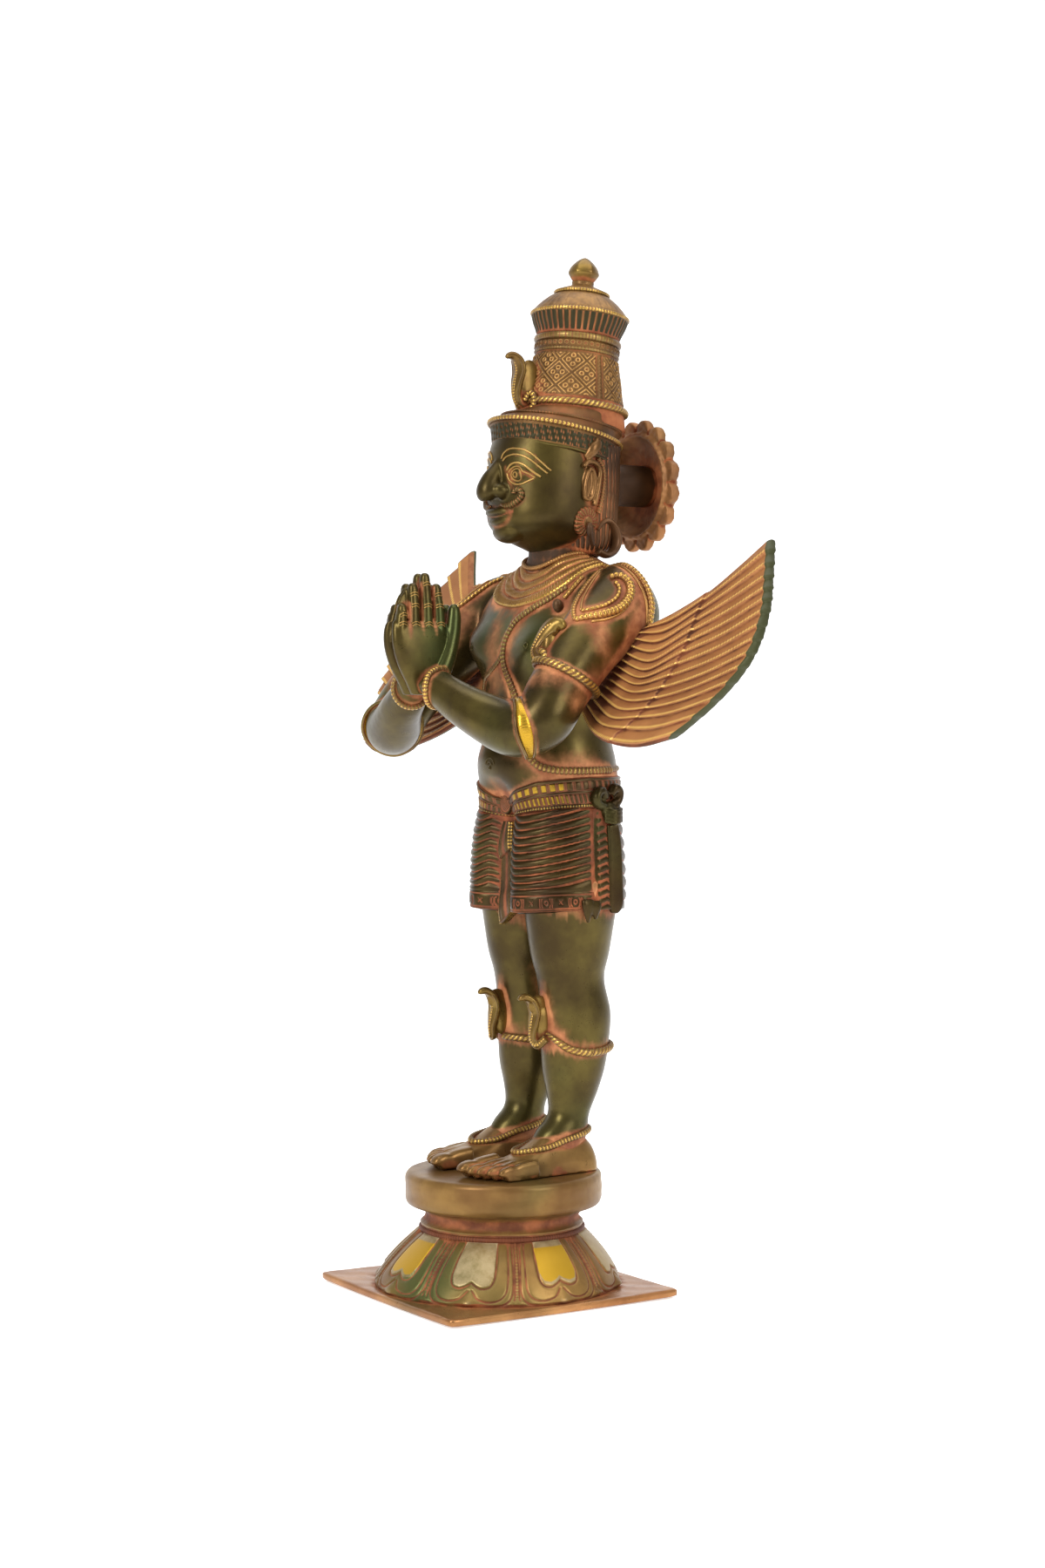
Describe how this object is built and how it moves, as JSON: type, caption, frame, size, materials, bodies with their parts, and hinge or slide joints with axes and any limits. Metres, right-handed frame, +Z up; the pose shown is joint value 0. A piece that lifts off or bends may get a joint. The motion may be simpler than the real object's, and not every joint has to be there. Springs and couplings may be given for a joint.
{
  "type": "garuda figure",
  "caption": "Standing winged garuda figure with joined hands, tall crown and scalloped disc behind the head, on a lotus plinth with a square base plate.",
  "frame": {"origin": "centre of the flat underside of the plinth's base plate", "axes": "+Z up through the figure, -Y the way it faces, +X towards its own left hand"},
  "size_m": [0.393, 0.187, 0.6111],
  "materials": {
    "figure_bronze": "cast bronze, dark olive and brown on the smooth skin, brighter gold on raised ornament, salmon patina in the recesses",
    "plinth_bronze": "cast bronze, olive and grey-green with gold hearts on four petals, salmon patina in the grooves"
  },
  "bodies": {
    "root": {"garuda_figure": "figure_bronze", "lotus_plinth": "plinth_bronze"}
  },
  "joints": []
}
